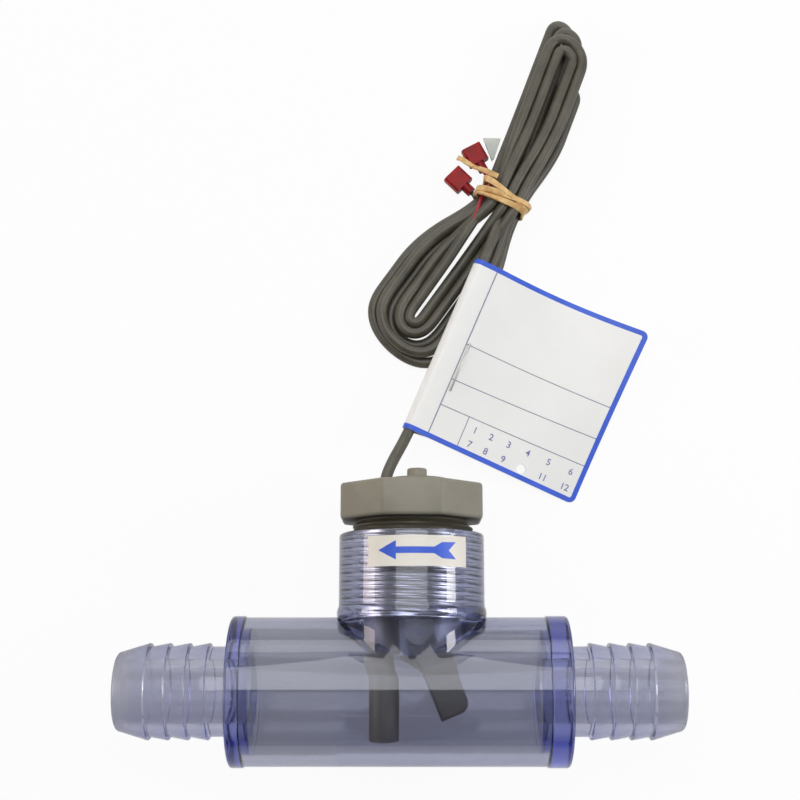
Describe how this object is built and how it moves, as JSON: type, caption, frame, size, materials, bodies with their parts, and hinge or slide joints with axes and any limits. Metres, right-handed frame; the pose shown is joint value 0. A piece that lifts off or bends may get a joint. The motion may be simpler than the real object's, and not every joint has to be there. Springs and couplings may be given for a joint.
{
  "type": "paddle flow switch",
  "caption": "Inline paddle flow switch: clear tee with a hose barb at each end, an octagonal head with a reed stem, a swinging magnetic paddle and a tied cable.",
  "frame": {"origin": "where the axis of the pipe run crosses the axis of the branch", "axes": "X along the run with the flow towards -X, Y up the branch towards the switch head, Z away from the surface that the switch lies on"},
  "size_m": [0.1503, 0.2179, 0.0402],
  "materials": {
    "clear_pvc": "clear blue-tinted PVC, polished by the mould",
    "clear_adapter": "clear PVC with a lilac cast where it is thick",
    "head_plastic": "fine moulded satin, warm grey",
    "stem_plastic": "satin moulded tube",
    "paddle_plastic": "satin moulding",
    "magnet": "sintered ferrite, fine dark grain",
    "glass": "clear reed-switch glass",
    "reed_metal": "drawn nickel-iron, bright",
    "red_insulation": "smooth extruded wire insulation",
    "black_insulation": "smooth extruded wire insulation",
    "potting_resin": "poured epoxy with a glossy top",
    "pin_steel": "ground stainless pin",
    "label_vinyl": "printed white vinyl, semi-matt",
    "cable_jacket": "olive-black PVC jacket with a dull sheen",
    "band_rubber": "tan natural rubber",
    "terminal_red": "translucent red nylon",
    "tinned_brass": "tin plate over brass",
    "flag_plastic": "white nylon",
    "tag_vinyl": "white vinyl sheet, semi-matt, printed in blue",
    "staple_steel": "bright zinc-plated wire"
  },
  "bodies": {
    "switch": {"tee_body": "clear_pvc", "outlet_barb": "clear_adapter", "inlet_barb": "clear_adapter", "switch_head": "head_plastic", "port_plug": "head_plastic", "return_magnet": "magnet", "reed_stem": "stem_plastic", "reed_capsule": "glass", "reed_blade_upper": "reed_metal", "reed_blade_lower": "reed_metal", "core_red": "red_insulation", "core_black": "black_insulation", "lead_sleeve": "black_insulation", "potting": "potting_resin", "pivot_pin": "pin_steel", "arrow_label": "label_vinyl", "cable": "cable_jacket", "cable_hank": "cable_jacket", "rubber_band": "band_rubber", "wire_red": "red_insulation", "wire_black": "black_insulation", "terminal_red_sleeve": "terminal_red", "terminal_red_contact": "tinned_brass", "terminal_black_sleeve": "terminal_red", "terminal_black_contact": "tinned_brass", "lead_flag": "flag_plastic", "tag": "tag_vinyl", "tag_staple": "staple_steel"},
    "paddle": {"paddle": "paddle_plastic", "paddle_magnet": "magnet", "magnet_cap": "paddle_plastic"}
  },
  "joints": [
    {"name": "paddle_swing", "type": "hinge", "parent": "switch", "child": "paddle", "pos_m": [0.0018, 0.0162, 0], "axis": [0, 0, -1], "range_deg": [0, 25.5], "stiffness_Nm_per_rad": 0.002, "springref_deg": -8.02}
  ]
}
